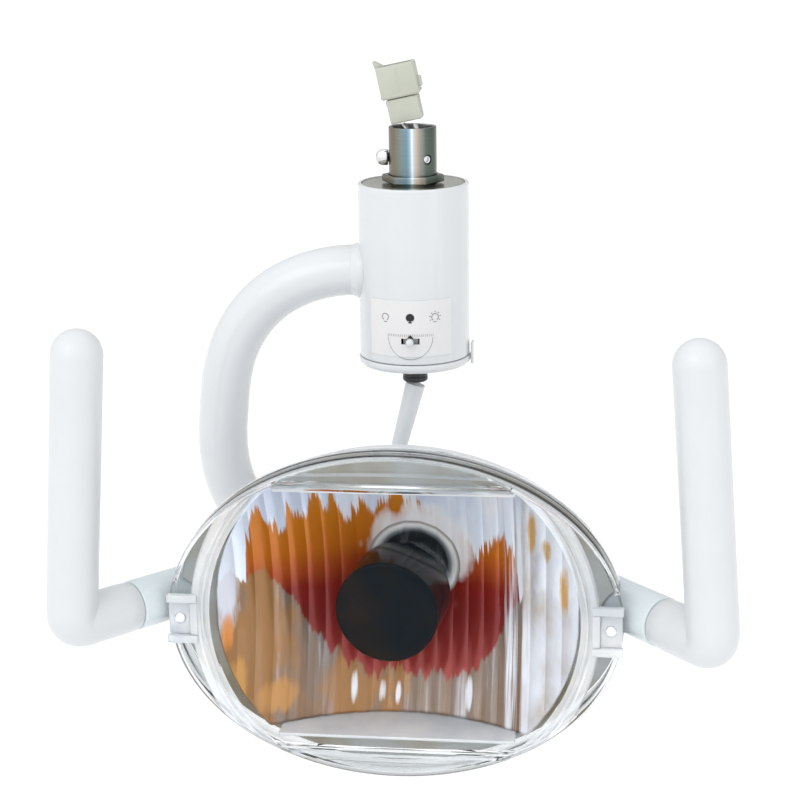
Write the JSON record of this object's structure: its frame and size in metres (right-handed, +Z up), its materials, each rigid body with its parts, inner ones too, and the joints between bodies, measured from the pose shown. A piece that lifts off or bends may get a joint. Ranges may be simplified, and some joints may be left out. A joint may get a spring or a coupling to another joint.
{
  "type": "dental operating light",
  "caption": "Dental operating light: swivel housing with a C-shaped arm carrying a tilting reflector head behind a clear shield, with side grips.",
  "frame": {"origin": "centre of the top face of the fixing collar, which slides into the carrying arm's end", "axes": "+Z up along the swivel axis, -Y the way the light shines, +X to the light's left as seen by the patient (right in the front view); the head tilts about X"},
  "size_m": [0.3536, 0.1824, 0.3659],
  "materials": {
    "collar_steel": "machined along its length, satin with bright streaks",
    "screw_steel": "polished",
    "plain_steel": "plain ground steel",
    "nylon": "translucent off-white nylon, slightly waxy",
    "yellow_lead": "smooth wire insulation",
    "black_lead": "smooth wire insulation",
    "black_rubber": "matt",
    "white_paint": "smooth gloss white enamel",
    "top_steel": "turned, glossy grey-olive",
    "label_grey": null,
    "black_plastic": "semi-gloss moulded",
    "white_plastic": "smooth moulded, soft gloss",
    "blue_white_plastic": "smooth moulded, faintly blue",
    "winding_copper": "enamelled winding wire",
    "board_green": "solder mask",
    "dichroic": "fluted cold-light mirror, amber to deep red with pale reflections",
    "frame_tan": "moulded, tan-grey",
    "clear_plastic": "clear polycarbonate, polished",
    "chrome": "polished",
    "gloss_black": "black enamel, high gloss",
    "white_ceramic": "unglazed steatite",
    "quartz": "clear quartz"
  },
  "bodies": {
    "mount": {"mount_collar": "collar_steel", "collar_locknut": "collar_steel", "retaining_screw": "screw_steel", "set_screw": "screw_steel", "swivel_retaining_ring": "plain_steel", "lead_grommet": "black_rubber", "connector_plug": "nylon", "connector_socket": "nylon", "contact_blade_left": "plain_steel", "contact_blade_right": "plain_steel", "lead_yellow": "yellow_lead", "lead_black": "black_lead"},
    "arm": {"top_plate": "top_steel", "swivel_washer": "nylon", "housing_shell": "white_paint", "base_cap": "white_paint", "base_screw_1": "screw_steel", "base_screw_2": "screw_steel", "base_screw_3": "screw_steel", "base_catch": "white_paint", "cable_gland": "black_plastic", "label_plate": "label_grey", "switch_body": "black_plastic", "transformer_core": "plain_steel", "transformer_coil": "winding_copper", "arm_root_bead": "white_paint", "terminal_block": "nylon", "circuit_board": "board_green", "board_capacitor": "black_plastic", "c_arm": "white_paint", "tilt_spindle": "plain_steel", "arm_end_cap": "white_plastic", "friction_washer": "plain_steel", "spindle_nut": "plain_steel", "strain_relief": "white_plastic", "lamp_cable": "white_plastic"},
    "toggle": {"toggle_lever": "white_plastic"},
    "head": {"back_shell": "white_plastic", "cable_inlet": "black_rubber", "tilt_knuckle": "white_plastic", "knuckle_cap": "white_plastic", "reflector": "dichroic", "reflector_frame": "frame_tan", "lower_shelf": "clear_plastic", "upper_shelf": "clear_plastic", "lamp_sleeve": "chrome", "bulb_cap": "gloss_black", "cap_stay_1": "chrome", "cap_stay_2": "chrome", "cap_stay_3": "chrome", "lamp_socket": "white_ceramic", "halogen_bulb": "quartz", "socket_bracket": "plain_steel", "handle_root_left": "blue_white_plastic", "handle_screw_left": "screw_steel", "handle_root_right": "blue_white_plastic", "handle_screw_right": "screw_steel"},
    "shield": {"front_shield": "clear_plastic"},
    "grip_l": {"grip_left": "white_plastic"},
    "grip_r": {"grip_right": "white_plastic"}
  },
  "joints": [
    {"name": "lamp_swivel", "type": "hinge", "parent": "mount", "child": "arm", "pos_m": [0, 0, -0.04], "axis": [0, 0, 1], "range_deg": [-160, 160]},
    {"name": "head_tilt", "type": "hinge", "parent": "arm", "child": "head", "pos_m": [0, 0, -0.242], "axis": [1, 0, 0], "range_deg": [-12, 80], "deforming": ["lamp_cable"]},
    {"name": "brightness_toggle", "type": "hinge", "parent": "arm", "child": "toggle", "pos_m": [0.0011, -0.017, -0.1125], "axis": [0, 0, 1], "range_deg": [-14, 14]},
    {"name": "shield_release", "type": "slide", "parent": "head", "child": "shield", "axis": [0, -1, 0], "range_m": [0, 0.03]},
    {"name": "left_grip_pull", "type": "slide", "parent": "head", "child": "grip_l", "axis": [-0.6506, -0.7594, 0], "range_m": [0, 0.026]},
    {"name": "right_grip_pull", "type": "slide", "parent": "head", "child": "grip_r", "axis": [0.6506, -0.7594, 0], "range_m": [0, 0.026]}
  ]
}
